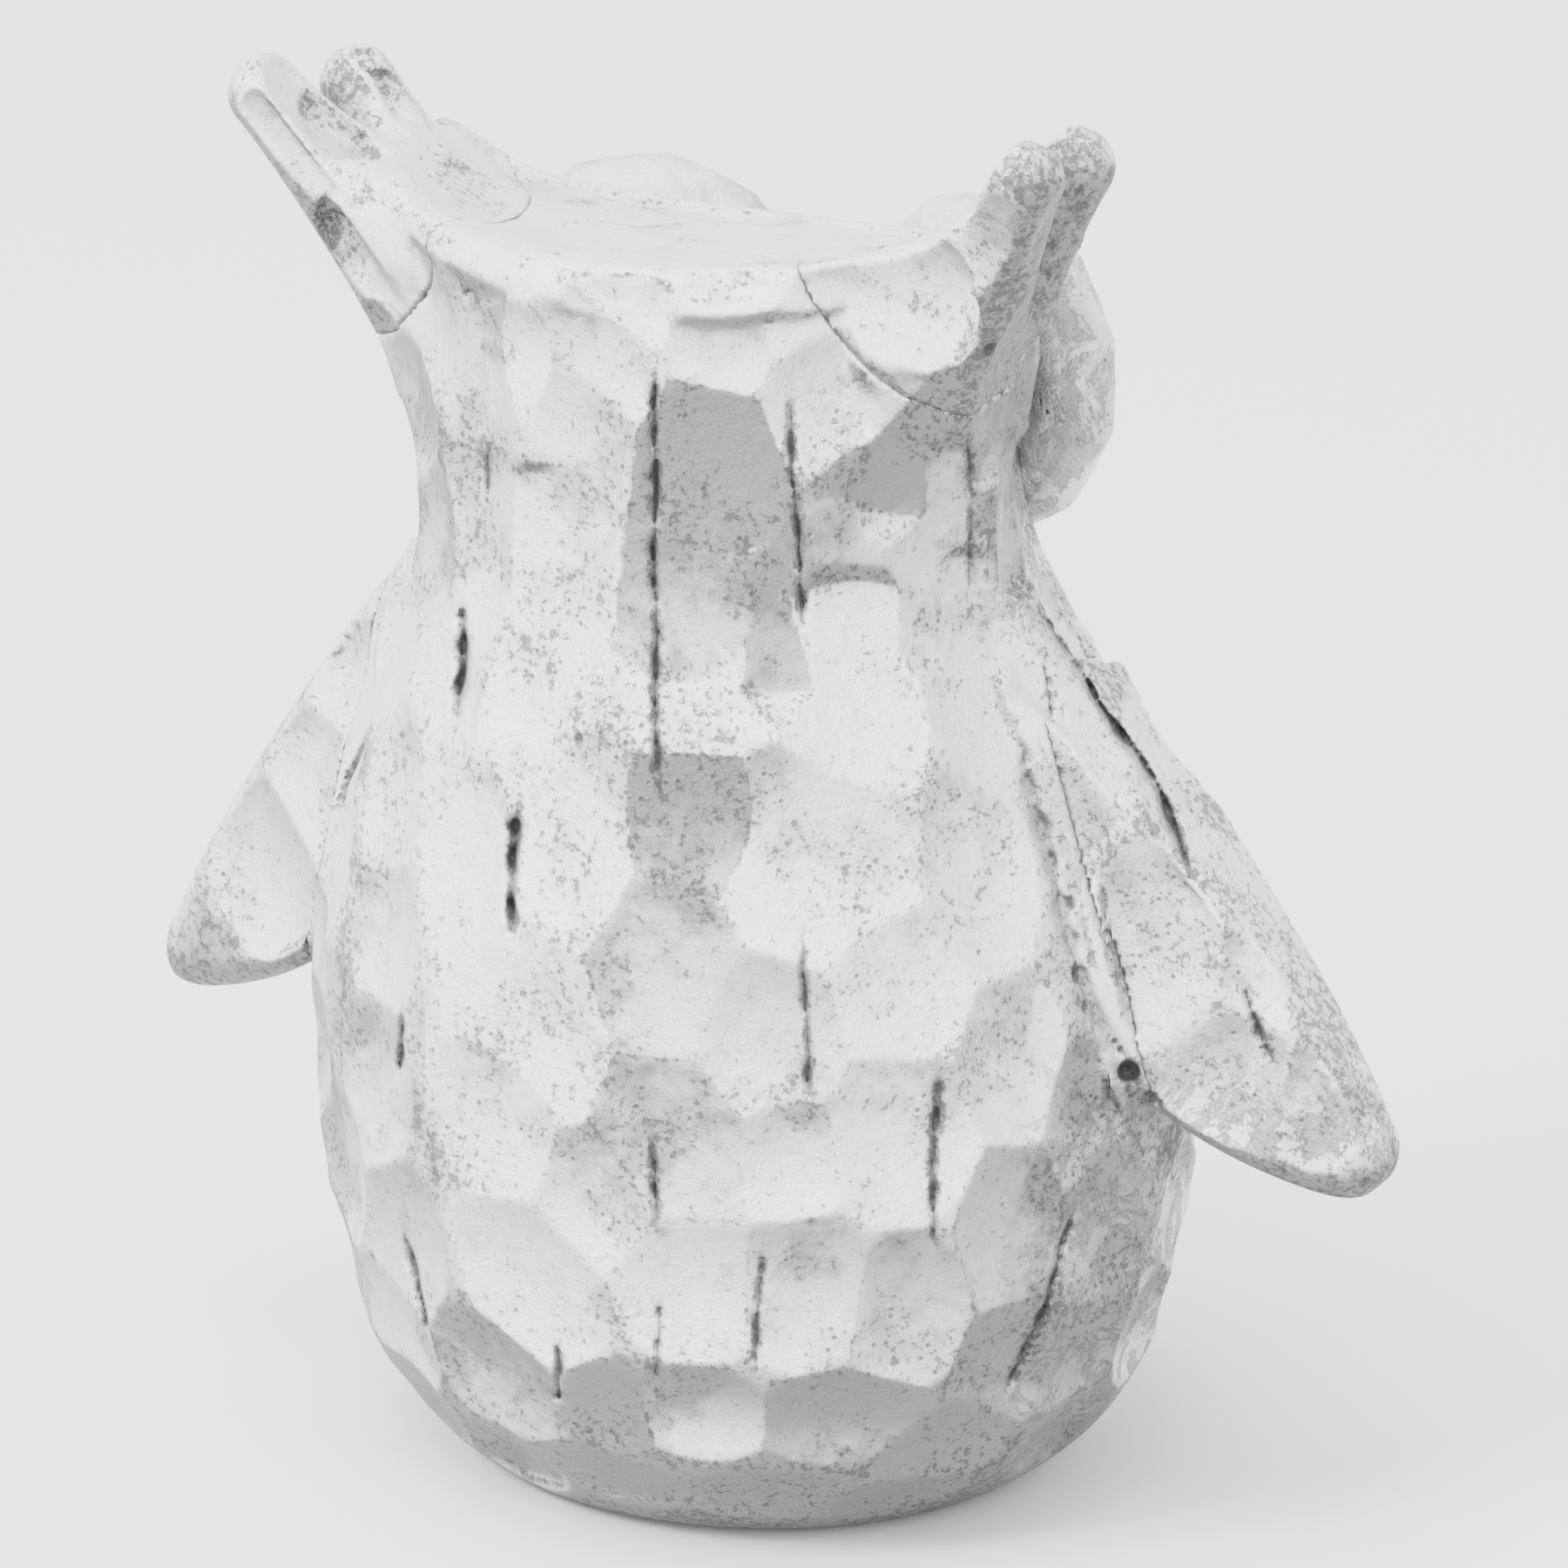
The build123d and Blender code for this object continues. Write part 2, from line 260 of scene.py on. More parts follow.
def smooth_outline(points, steps=6):
    """A closed curve through the points."""
    points = np.array(points, float)
    curve = []
    for i in range(len(points)):
        p0, p1, p2, p3 = (points[(i + k) % len(points)] for k in (-1, 0, 1, 2))
        for step in range(steps):
            t = step / steps
            bend = (2 * p0 - 5 * p1 + 4 * p2 - p3) * t * t + (3 * p1 - p0 - 3 * p2 + p3) * t**3
            curve.append(0.5 * (2 * p1 + (p2 - p0) * t + bend))
    return curve


def outline_field(x, z, outline):
    """Signed distance in a plane to a closed outline, negative inside."""
    shape = np.broadcast(x, z).shape
    nearest = np.full(shape, 1e9, np.float32)
    inside = np.zeros(shape, bool)
    for i, (ax, az) in enumerate(outline):
        bx, bz = outline[(i + 1) % len(outline)]
        ex, ez = bx - ax, bz - az
        share = np.clip(((x - ax) * ex + (z - az) * ez) / (ex * ex + ez * ez), 0, 1)
        nearest = np.minimum(nearest, (x - ax - share * ex) ** 2 + (z - az - share * ez) ** 2)
        if abs(ez) > 1e-9:
            inside ^= ((az > z) != (bz > z)) & (x < ex * (z - az) / ez + ax)
    return np.where(inside, -1, 1) * np.sqrt(nearest)


def wing_field(x, y, z):
    """Distance to the left wing, a plate with a rounded edge."""
    flat = outline_field(x, z, smooth_outline(WING_OUTLINE))
    share = np.clip((x - WING_ROOT) / WING_SPAN, 0, 1)
    middle = WING_SET_BACK[0] - WING_SET_BACK[1] * share
    across = np.abs(y - middle) - (WING_HALF_DEPTH[0] - WING_HALF_DEPTH[1] * share)
    inner = np.minimum(np.maximum(flat + WING_EDGE, across + WING_EDGE), 0)
    outer = np.sqrt(np.maximum(flat + WING_EDGE, 0) ** 2 + np.maximum(across + WING_EDGE, 0) ** 2)
    return inner + outer - WING_EDGE


def crown_field(x, y, z):
    """The saddle that tops the head, rising to the ear tufts."""
    rise = CROWN_RISE + CROWN_RISE_FRONT * np.exp(-(((y - CROWN_FRONT) / CROWN_FRONT_DEPTH) ** 2))
    height = CREST_HEIGHT - CROWN_DIP * (CREST_BACK - y) + rise * np.abs(x) ** 3
    height = height + TIP_RISE * np.maximum(np.abs(x) - TIP_START, 0) ** 1.2
    return (z - height) / CROWN_STEEPNESS


def smooth_form(x, y, z):
    """The whole skin before any mark is cut, from the owl's left half."""
    x = np.abs(x)
    ears = None
    for lobe in EAR_LOBES:
        field = lobe_field(x, y, z, *lobe)
        ears = field if ears is None else soft_min(ears, field, LOBE_BLEND)
    form = soft_min(body_field(x, y, z), ears, EAR_BLEND)
    form = soft_min(form, wing_field(x, y, z), WING_BLEND)
    rounding = CROWN_BLEND[0] + CROWN_BLEND[1] * np.exp(-((x / CROWN_MIDDLE) ** 4))
    form = soft_max(form, crown_field(x, y, z) - CROWN_LIFT, rounding)
    return soft_max(form, BASE_HEIGHT - z, BASE_BLEND)


# ---- gouge marks and splits
# How much wider each mark's cut is than the facet it leaves between its neighbours.
MARK_OVERLAP = 1.2
# A mark rises to the skin at its edge. The skin's own fall there is this share of the half size
# squared, over one roundness across and another along. The rise is never less than LEAST_RISE.
SKIN_FALL = 0.8
ROUNDNESS = (170, 400)
LEAST_RISE = 0.12
# In half sizes: where a mark's cut starts to fade, and where it ends. Then how fast it fades.
FADE_START = 1.25
MARK_END = 1.45
FADE = 0.6
# A mark cuts no more than this far above its centre, and lifts off skin that turns away from it by
# more than this agreement of the two directions, at this rate.
MOST_RISE = 4
AGREEMENT = 0.92
LIFT = 400
# Marks on the back smaller than this are cut shallower.
FULL_SIZE = 22
# What the fields hold where nothing is cut.
UNCUT = -20.0
SPLIT_SOFTNESS = 0.5
PIT_SOFTNESS = 0.4
PIT_SPREAD = 1.5

# Marks on the back, as laid out square-on: distance sideways, height, width, length, lean and
# upward tilt in degrees, and how dull the leaf is there from 0 to 1. The darkest values also paint
# shade and dark reflection onto facets that are turned from the light.
BACK_MARKS = [
    (-5, 271, 28, 21, 0, 3, 0.45), (-32, 265, 26, 28, 0, 0, 0.3), (23, 273, 27, 20, 0, 6, 0.2),
    (-10, 246, 28, 30, 0, -6, 0.95), (16, 254, 22, 28, -8, 8, 0.3),
    (33, 249, 17, 26, 0, -6, 0.85), (-37, 246, 26, 34, 0, 0, 0.3), (-58, 254, 24, 40, 8, 0, 0.35),
    (-14, 221, 30, 32, 0, -4, 0.65), (6, 217, 16, 30, 0, -4, 0.7), (20, 222, 17, 32, 0, 0, 0.55),
    (36, 222, 18, 30, 0, 0, 0.4), (-41, 210, 26, 38, 0, 2, 0.2), (-58, 226, 22, 40, 0, 0, 0.3),
    (-13, 196, 36, 26, 0, 4, 0.3), (-12, 174, 31, 24, 0, -9, 1.0), (21, 190, 30, 38, 0, 5, 0.2),
    (45, 195, 22, 34, 0, 0, 0.35), (-47, 189, 24, 36, 0, 0, 0.15), (-66, 184, 22, 40, 0, 0, 0.3),
    (14, 156, 42, 36, 0, 5, 0.4), (-19, 143, 27, 38, 0, -3, 0.55), (47, 154, 24, 38, 0, 0, 0.3),
    (-38, 162, 26, 36, 0, 0, 0.25), (-60, 153, 22, 38, 0, 0, 0.25), (32, 128, 28, 31, 0, 6, 0.2),
    (2, 124, 31, 33, 0, 0, 0.4), (54, 118, 22, 34, 0, 0, 0.3), (-48, 121, 36, 38, -20, 2, 0.1),
    (31, 98, 30, 32, 0, 6, 0.15), (7, 97, 22, 27, 0, 3, 0.25), (-18, 106, 31, 38, 0, -4, 0.4),
    (-55, 98, 30, 32, -25, 2, 0.1), (54, 80, 20, 36, 8, -2, 0.5), (-34, 83, 26, 28, -15, 2, 0.25),
    (10, 69, 27, 30, 0, 0, 0.25), (32, 64, 22, 32, 4, -2, 0.3), (-14, 67, 30, 32, 0, 3, 0.15),
    (-48, 65, 32, 30, -25, 0, 0.1), (54, 48, 22, 32, 10, -4, 0.55), (19, 38, 33, 22, 0, -5, 0.6),
    (-12, 35, 28, 21, 0, 5, 0.25), (-31, 38, 18, 22, 0, -7, 0.9), (-56, 36, 34, 28, -30, -2, 0.3),
    (43, 30, 30, 24, 20, -7, 0.85), (4, 17, 38, 18, 0, -8, 1.0), (-34, 18, 32, 18, -12, -8, 0.95),
    (-77, 62, 26, 36, -15, 0, 0.3), (-82, 98, 24, 36, -8, 0, 0.3), (-80, 130, 22, 36, 0, 0, 0.35),
    (-77, 160, 20, 34, 0, 0, 0.3), (75, 72, 24, 36, 12, 0, 0.5), (71, 44, 24, 28, 20, -3, 0.55),
    (70, 100, 20, 30, 0, 0, 0.5), (-52, 280, 22, 30, 25, 0, 0.35), (55, 236, 20, 36, 0, 0, 0.6),
    (52, 258, 22, 32, 0, 0, 0.55), (60, 212, 20, 34, -5, 0, 0.5), (30, 14, 30, 16, 10, -6, 0.9),
]
# Marks along the ear tufts and wings, seen the same way.
EAR_MARKS = [
    (-74, 267, 20, 30, 38, 0, 0.3), (-100, 299, 15, 24, 34, 0, 0.2),
    (60, 300, 12, 24, -18, 0, 0.4), (70, 292, 10, 26, -15, 0, 0.45),
]
WING_MARKS = [
    (72, 180, 18, 40, -25, 0, 0.35), (86, 139, 24, 48, -32, 2, 0.15), (86, 168, 16, 36, -38, 0, 0.3),
    (104, 130, 18, 46, -35, 0, 0.45), (117, 104, 20, 34, -40, 0, 0.4), (100, 106, 20, 30, -50, 3, 0.1),
    (-88, 166, 20, 34, 32, 0, 0.25), (-99, 143, 22, 38, 30, 0, 0.2),
    (-111, 118, 24, 40, 30, 0, 0.3), (-96, 116, 18, 34, 20, 0, 0.5),
]
# Marks over the edge between crown and back: distance sideways, width and length.
RIM_MARKS = [(-50, 24, 20), (-27, 26, 20), (-3, 27, 22), (22, 26, 20), (44, 22, 22)]
# Marks down into the crown: out from the middle, back from the middle, width and length.
CROWN_MARKS = [
    (-50, 56, 24, 24), (-27, 66, 24, 22), (-3, 69, 25, 22), (22, 66, 26, 22), (46, 56, 24, 24),
    (-38, 34, 26, 26), (-12, 42, 26, 28), (16, 42, 28, 28), (42, 34, 26, 26), (-64, 36, 24, 28),
    (66, 36, 24, 28), (-26, 12, 26, 28), (2, 14, 28, 28), (30, 12, 26, 28), (-52, 10, 24, 26),
    (54, 10, 24, 26), (-14, -12, 28, 24), (14, -12, 28, 24), (80, 50, 20, 24), (-80, 50, 20, 24),
    (82, 24, 18, 24), (-82, 24, 18, 24), (38, -12, 24, 22), (-38, -12, 24, 22),
]
# Rows of marks round the rest of the body: from, to and between, and how close two marks may lie.
ROWS = (16, 285, 25)
ROW_GAP = 21
# Marks on the wings' front faces: distance out, height, width and length. Then one on each side of
# an ear tuft: distance out, back from the middle and height.
WING_FRONT_MARKS = [
    (80, 178, 20, 38), (92, 150, 22, 40), (106, 132, 20, 42), (118, 110, 22, 38),
    (134, 98, 18, 26), (102, 112, 18, 28),
]
WING_LEAN = -34
EAR_SIDE_MARKS = [(96, 38, 296), (78, 8, 272)]
EAR_SIDE_LEAN = -30
EAR_GAP = 12
# Splits cut only the skin at least this far behind the middle.
NEAR_SIDE = 40.0
# Splits as laid out on the back: points, width and depth.
SPLITS = [
    ([(-20, 268), (-20.5, 222), (-20, 167)], 1.9, 2.6),
    ([(7, 261), (8.5, 232), (10.5, 205)], 1.6, 2.2),
    ([(-61, 205), (-61.5, 190), (-63, 178)], 2.6, 3.2),
    ([(-49.5, 168), (-51, 139)], 2.8, 3.4),
    ([(10, 150), (10.6, 130), (11.5, 109)], 1.5, 1.8),
    ([(38, 118), (37, 75)], 1.7, 2.2),
    ([(-22, 103), (-20, 79)], 1.5, 2.0),
    ([(1.5, 77), (0, 49)], 1.4, 1.8),
    ([(-42, 50), (-42, 33)], 1.8, 2.2),
    ([(-76, 62), (-73, 50), (-70, 40)], 2.0, 2.4),
    ([(-75, 118), (-76, 99)], 1.4, 1.8),
    ([(44, 251), (45, 208)], 1.2, 1.4),
    ([(68, 81), (61, 57), (53, 35)], 1.8, 2.2),
    ([(57, 206), (69, 190), (84, 168), (95, 146)], 2.0, 2.4),
    ([(102, 130), (109, 112)], 1.6, 2.0),
    ([(-90, 147), (-95, 119)], 1.4, 1.6),
    ([(-56, 274), (-64, 268), (-68, 258)], 1.3, 1.6),
    ([(59, 262), (62, 225)], 1.2, 1.4),
    ([(54, 184), (60, 161), (66, 138), (72, 120), (80, 109)], 3.4, 2.0),
    ([(-20, 64), (-21, 45)], 1.2, 1.4),
    ([(-55, 240), (-56, 226)], 1.0, 1.2),
]
# Pinholes and glue cavities: sideways, height and radius.
PITS = [
    (66, 146, 0.9), (68, 131, 1.3), (67, 139, 0.8), (70, 124, 1.0), (79, 108, 1.6), (84, 102, 1.3),
    (-71, 300, 1.7), (48, 268, 1.0), (-37, 184, 0.9), (59, 250, 1.0), (24, 150, 0.8), (-28, 128, 0.9),
    (12, 84, 0.9), (35, 72, 1.2), (-8, 92, 0.8), (40, 143, 0.8), (-62, 236, 0.8), (-44, 104, 0.9),
    (18, 206, 0.8),
]


def sideways(x, y):
    """Distance across the back as laid out square-on, growing towards the owl's right."""
    return x * -math.cos(BACK_TURN) - y * math.sin(BACK_TURN)


def behind(x, y):
    """Distance behind the owl's middle along the same view."""
    return x * -math.sin(BACK_TURN) + y * math.cos(BACK_TURN)


def point_from(across, rear, z):
    """The point at these distances sideways and behind."""
    x = -across * math.cos(BACK_TURN) - rear * math.sin(BACK_TURN)
    y = -across * math.sin(BACK_TURN) + rear * math.cos(BACK_TURN)
    return np.array([x, y, z], float)


def form_at(p):
    """The smooth form's distance at one point."""
    return float(smooth_form(*(np.array([c], np.float64) for c in p))[0])


def outward_at(p):
    """The smooth form's outward direction at a point."""
    step = 0.5
    rise = [form_at(p + step * axis) - form_at(p - step * axis) for axis in np.eye(3)]
    return np.array(rise) / np.linalg.norm(rise)


def first_hit(start, direction, reach):
    """The first point of the smooth form met from start, or None."""
    shares = np.linspace(0, reach, 400)
    points = start[:, None] + direction[:, None] * shares
    field = smooth_form(*points)
    hits = np.nonzero(field < 0)[0]
    return None if not len(hits) else points[:, hits[0]]


def back_hit(across, z):
    """The skin at a place on the back as laid out square-on, or None."""
    return first_hit(point_from(across, 160, z), point_from(0, -1, 0), 200)


class Mark:
    """One gouge cut: a shallow scoop centred on the smooth form."""

    def __init__(self, centre, width, length, lean, depth, tilt, tone, lift=LIFT):
        self.centre = centre
        self.lift = lift
        self.normal = outward_at(centre)
        level = np.cross((0.0, 0.0, 1.0), self.normal)
        if np.linalg.norm(level) < 0.2:
            level = np.array((1.0, 0.0, 0.0))
        level /= np.linalg.norm(level)
        rising = np.cross(self.normal, level)
        turn = math.radians(lean)
        self.across = level * math.cos(turn) + rising * math.sin(turn)
        self.along = rising * math.cos(turn) - level * math.sin(turn)
        raised = math.radians(tilt)
        facing = self.normal * math.cos(raised) + rising * math.sin(raised)
        self.along = self.along * math.cos(raised) - self.normal * math.sin(raised) * math.cos(turn)
        self.normal = facing
        self.half_width = MARK_OVERLAP * width / 2
        self.half_length = MARK_OVERLAP * length / 2
        self.depth = depth
        # How dull the leaf is on this facet. The leaf finish also paints shade and dark reflection with
        # it.
        self.tone = tone
        self.bend_across, self.bend_along = (
            max(LEAST_RISE, depth - SKIN_FALL * half**2 / roundness) / half**2
            for half, roundness in zip((self.half_width, self.half_length), ROUNDNESS)
        )

    def reach(self, half_sizes=MARK_END):
        return half_sizes * max(self.half_width, self.half_length)

    def cut(self, x, y, z, outward):
        """Positive where the gouge takes material away. It lifts off skin that turns from it."""
        dx, dy, dz = x - self.centre[0], y - self.centre[1], z - self.centre[2]
        up = dx * self.normal[0] + dy * self.normal[1] + dz * self.normal[2]
        side = dx * self.across[0] + dy * self.across[1] + dz * self.across[2]
        far = dx * self.along[0] + dy * self.along[1] + dz * self.along[2]
        scoop = np.minimum(up, MOST_RISE) + self.depth
        scoop = scoop - self.bend_across * side**2 - self.bend_along * far**2
        beyond = np.sqrt(dx * dx + dy * dy + dz * dz) - self.reach(FADE_START)
        agree = sum(n * o for n, o in zip(self.normal, outward))
        turned = np.maximum(AGREEMENT - agree, 0)
        return scoop - FADE * np.maximum(beyond, 0) - self.lift * turned**2


def marked_back(rng, depth):
    """The marks listed for the back, ears, wings and crown."""
    marks = []
    for across, z, width, length, lean, tilt, tone in BACK_MARKS + EAR_MARKS + WING_MARKS:
        hit = back_hit(across, z)
        if hit is not None:
            own_depth = depth * rng.uniform(0.9, 1.15) * min(1.0, min(width, length) / FULL_SIZE) ** 2
            marks.append(Mark(hit, width, length, lean, own_depth, tilt, tone))
    for across, width, length in RIM_MARKS:
        hit = first_hit(point_from(across, 150, 355), point_from(0, -0.7, -0.7), 220)
        if hit is not None:
            marks.append(Mark(hit, width, length, 0, 0.9 * depth, 0, 0.05, lift=0))
    for x, y, width, length in CROWN_MARKS:
        hit = first_hit(np.array([x, y, 330.0]), np.array([0, 0, -1.0]), 100)
        if hit is not None:
            own_depth = depth * rng.uniform(0.7, 1.0)
            marks.append(Mark(hit, width, length, 0, own_depth, 0, rng.uniform(0.2, 0.65)))
    return marks


def marked_rest(rng, depth, placed):
    """Staggered rows of marks round the rest of the body and the wings' front faces."""
    marks = []

    def clear_of(hit, gap):
        return all(np.linalg.norm(hit - mark.centre) > gap for mark in placed + marks)

    for row, z in enumerate(range(*ROWS)):
        count = 20 if 40 < z < 160 else 16
        for k in range(count):
            angle = 2 * math.pi * (k + 0.5 * (row % 2) + rng.uniform(-0.12, 0.12)) / count
            spot_z = z + rng.uniform(-3, 3)
            direction = np.array([-math.cos(angle), -math.sin(angle), 0.0])
            hit = first_hit(np.array([0.0, 12.0, spot_z]) - 150 * direction, direction, 150)
            width, length = rng.uniform(25, 30), rng.uniform(27, 33)
            on_body = hit is not None and float(body_field(*(np.array([c]) for c in hit))[0]) < 1.5
            if on_body and clear_of(hit, ROW_GAP):
                own_depth = depth * rng.uniform(0.8, 1.15)
                lean, tilt = rng.uniform(-8, 8), rng.uniform(-6, 7)
                marks.append(Mark(hit, width, length, lean, own_depth, tilt, rng.uniform(0.1, 0.7)))
    for side, _ in SIDES:
        for x, z, width, length in WING_FRONT_MARKS:
            hit = first_hit(np.array([side * x, -60.0, z]), np.array([0, 1.0, 0]), 100)
            if hit is not None and abs(hit[1]) < 40:
                lean = WING_LEAN * side
                marks.append(Mark(hit, width, length, lean, depth * 0.8, 0, rng.uniform(0.1, 0.6)))
        for x, y, z in EAR_SIDE_MARKS:
            direction = np.array([-side * 0.8, 0.35, 0.2])
            direction /= np.linalg.norm(direction)
            hit = first_hit(np.array([side * x, y, z], float) - direction * 40, direction, 90)
            if hit is not None and clear_of(hit, EAR_GAP):
                lean = EAR_SIDE_LEAN * side
                marks.append(Mark(hit, 18, 26, lean, depth * 0.8, 0, rng.uniform(0.1, 0.6)))
    return marks


def split_share(u, z, points, width):
    """1 along a split's middle, falling to 0 at its lips and to -1 beside it."""
    u = u + 0.25 * np.sin(z * 0.21 + points[0][0]) + 0.12 * np.sin(z * 0.83 + points[0][1])
    nearest = np.full(np.broadcast(u, z).shape, 1e9, np.float32)
    total = sum(math.dist(a, b) for a, b in zip(points, points[1:]))
    run = 0.0
    share_at = np.zeros(nearest.shape, np.float32)
    for (au, az), (bu, bz) in zip(points, points[1:]):
        eu, ez = bu - au, bz - az
        length = math.hypot(eu, ez)
        share = np.clip(((u - au) * eu + (z - az) * ez) / length**2, 0, 1)
        away = np.sqrt((u - au - share * eu) ** 2 + (z - az - share * ez) ** 2)
        closer = away < nearest
        share_at = np.where(closer, (run + share * length) / total, share_at)
        nearest = np.where(closer, away, nearest)
        run += length
    taper = np.clip(np.minimum(share_at, 1 - share_at) * 7, 0.25, 1)
    ragged = 0.75 + 0.25 * np.sin(z * 0.55 + points[0][0]) * np.sin(z * 0.21 + points[0][1])
    return np.clip(1.4 * taper * ragged - 2 * nearest / width, -1, 1)


# ---- the carved field
def grid_axes(low, high, cell):
    """The three coordinates of a grid between two corners, shaped to fill it together."""
    counts = np.ceil((high - low) / cell).astype(int) + 1
    axes = [(low[k] + cell * np.arange(counts[k])).astype(np.float32) for k in range(3)]
    return axes[0][:, None, None], axes[1][None, :, None], axes[2][None, None, :]


def ear_side(side, x, y, z):
    """Positive on the ear tuft's side of its joint."""
    cx, cy, cz = EAR_JOINT
    away = np.sqrt((x - side * cx) ** 2 + (y - cy) ** 2 + (z - cz) ** 2)
    return EAR_JOINT_RADIUS - away


def wing_side(side, x, y, z):
    """Positive on the wing's side of its joint."""
    out, up, reach = WING_JOINT
    return np.minimum(out * side * x + up * z - reach, WING_JOINT_TOP - z)


class Carving:
    """The form on a regular grid, with every mark, split and pit cut into it."""

    def __init__(self, settings):
        self.cell = settings.cell / MM
        self.low, high = (np.array(corner) for corner in OWL_SPACE)
        self.x, self.y, self.z = grid_axes(self.low, high, self.cell)
        self.field = smooth_form(self.x, self.y, self.z).astype(np.float32)
        rng = random.Random(settings.seed)
        self.marks = marked_back(rng, settings.gouge_depth / MM)
        self.marks += marked_rest(rng, settings.gouge_depth / MM, self.marks)
        self.softness = settings.ridge_softness / MM
        self.pits = []
        for across, z, radius in PITS:
            hit = back_hit(across, z)
            if hit is not None:
                self.pits.append((hit, radius))
        self.cut_marks()
        self.cut_splits()

    def block(self, low, high):
        """Slices of the grid between two corners."""
        start = np.clip(np.floor((np.array(low) - self.low) / self.cell), 0, self.field.shape)
        stop = np.clip(np.ceil((np.array(high) - self.low) / self.cell) + 1, 0, self.field.shape)
        return tuple(slice(int(a), int(b)) for a, b in zip(start, stop))

    def places(self, block):
        """The grid's coordinates in a block."""
        return self.x[block[0]], self.y[:, block[1]], self.z[:, :, block[2]]

    def cut_marks(self):
        """Blends all marks into one gouged field, then takes it from the form."""
        gouged = np.full(self.field.shape, UNCUT, np.float32)
        for mark in self.marks:
            block = self.block(mark.centre - mark.reach(), mark.centre + mark.reach())
            outward = np.gradient(self.field[block], self.cell)
            cut = mark.cut(*self.places(block), outward).astype(np.float32)
            gouged[block] = soft_max(gouged[block], cut, self.softness)
        self.field = soft_max(self.field, gouged, self.softness)

    def cut_splits(self):
        """Opens the splits and the pits."""
        for points, width, depth in SPLITS:
            block = self.split_block(points)
            x, y, z = self.places(block)
            share = split_share(sideways(x, y), z, points, width)
            cut = (self.field[block] + depth * share) / math.hypot(1, 2 * depth / width)
            cut = np.where((behind(x, y) > NEAR_SIDE) & (share > -1), cut, UNCUT)
            self.field[block] = soft_max(self.field[block], cut.astype(np.float32), SPLIT_SOFTNESS)
        for centre, radius in self.pits:
            block = self.block(centre - 3 * radius - 4, centre + 3 * radius + 4)
            x, y, z = self.places(block)
            away = (x - centre[0]) ** 2 + (y - centre[1]) ** 2 + (z - centre[2]) ** 2
            ball = radius * PIT_SPREAD - np.sqrt(away)
            self.field[block] = soft_max(self.field[block], ball.astype(np.float32), PIT_SOFTNESS)

    def split_block(self, points):
        """The block round a split, with room at its sides and ends and through the skin's depth."""
        corners = [
            point_from(u + side_room, rear, z + end_room)
            for u, z in points
            for side_room in (-4, 4) for end_room in (-3, 3) for rear in (-30, 130)
        ]
        return self.block(np.min(corners, axis=0), np.max(corners, axis=0))

    def casting(self, low, high, joint=None):
        """Points in metres and quads of one casting: the skin's field on one side of its joints."""
        block = self.block(low, high)
        x, y, z = self.places(block)
        field = self.field[block]
        if joint is None:
            for side, _ in SIDES:
                field = np.maximum(field, ear_side(side, x, y, z))
                field = np.maximum(field, wing_side(side, x, y, z))
            mouth = np.minimum(MOUTH_RADIUS - np.sqrt(x * x + y * y), MOUTH_TOP - z)
            field = np.maximum(field, mouth)
        else:
            field = np.maximum(field, -joint(x, y, z))
        return skin_of(field, self.low + self.cell * np.array([s.start for s in block]), self.cell)

    def surface_values(self, points, normals):
        """Ridge, dullness with painted shade, and split strengths at points in millimetres."""
        best = np.full(len(points), -2.0)
        second = np.full(len(points), -2.0)
        tone = np.full(len(points), 0.5)
        for mark in self.marks:
            near = np.nonzero(np.abs(points - mark.centre).max(axis=1) < mark.reach())[0]
            cut = mark.cut(*points[near].T, normals[near].T)
            wins = cut > best[near]
            second[near] = np.where(wins, best[near], np.maximum(second[near], cut))
            best[near] = np.where(wins, cut, best[near])
            tone[near] = np.where(wins, mark.tone, tone[near])
        ridge = np.clip(1 - (best - np.maximum(second, -0.3)) / 0.9, 0, 1)
        # Painted shade and highlight: points whose normal turns down are dulled towards the dark leaf,
        # and points that turn up are brightened, as if lit from above.
        tone = np.clip(tone - 1.2 * (normals[:, 2] - 0.02), 0, 1.2)
        u, z = sideways(points[:, 0], points[:, 1]), points[:, 2]
        near_side = behind(points[:, 0], points[:, 1]) > NEAR_SIDE
        split = np.zeros(len(points))
        for line, width, depth in SPLITS:
            share = np.clip(2 * split_share(u, z, line, width) - 0.5, 0, 1)
            share = share * min(1, 0.8 * depth / width)
            split = np.maximum(split, np.where(near_side, share, 0))
        for centre, radius in self.pits:
            away = np.linalg.norm(points - centre, axis=1)
            split = np.maximum(split, np.clip((PIT_SPREAD * radius - away) / 0.6 + 1, 0, 1))
        return ridge, tone, split


def skin_of(field, start, cell):
    """Points in metres and quads of the zero surface of a field in millimetres."""
    limit = 3.0
    grid = openvdb.FloatGrid(limit)
    field = np.clip(field, -limit, limit).astype(np.float32)
    grid.copyFromArray(np.ascontiguousarray(field), tolerance=0.001)
    points, quads = grid.convertToQuads(0.0)
    return (np.array(points, float) * cell + start) * MM, np.array(quads).tolist()


carved = {}


def carving():
    """The carved field, made once for all castings."""
    if "field" not in carved:
        carved["field"] = Carving(bpy.context.scene.owl_form)
    return carved["field"]


# ---- meshes
def make_object(name, points, faces, finish):
    """A smooth-shaded object with one finish, its faces turned outward."""
    mesh = bpy.data.meshes.new(name)
    mesh.from_pydata(points.tolist(), [], faces)
    mesh.validate()
    mesh.update()
    corners = points[np.array([face[:3] for face in faces])]
    volume = np.einsum("ij,ij->i", corners[:, 0], np.cross(corners[:, 1], corners[:, 2])).sum()
    if volume < 0:
        mesh.flip_normals()
    mesh.shade_smooth()
    piece = bpy.data.objects.new(name, mesh)
    bpy.context.scene.collection.objects.link(piece)
    mesh.materials.append(finish)
    return piece


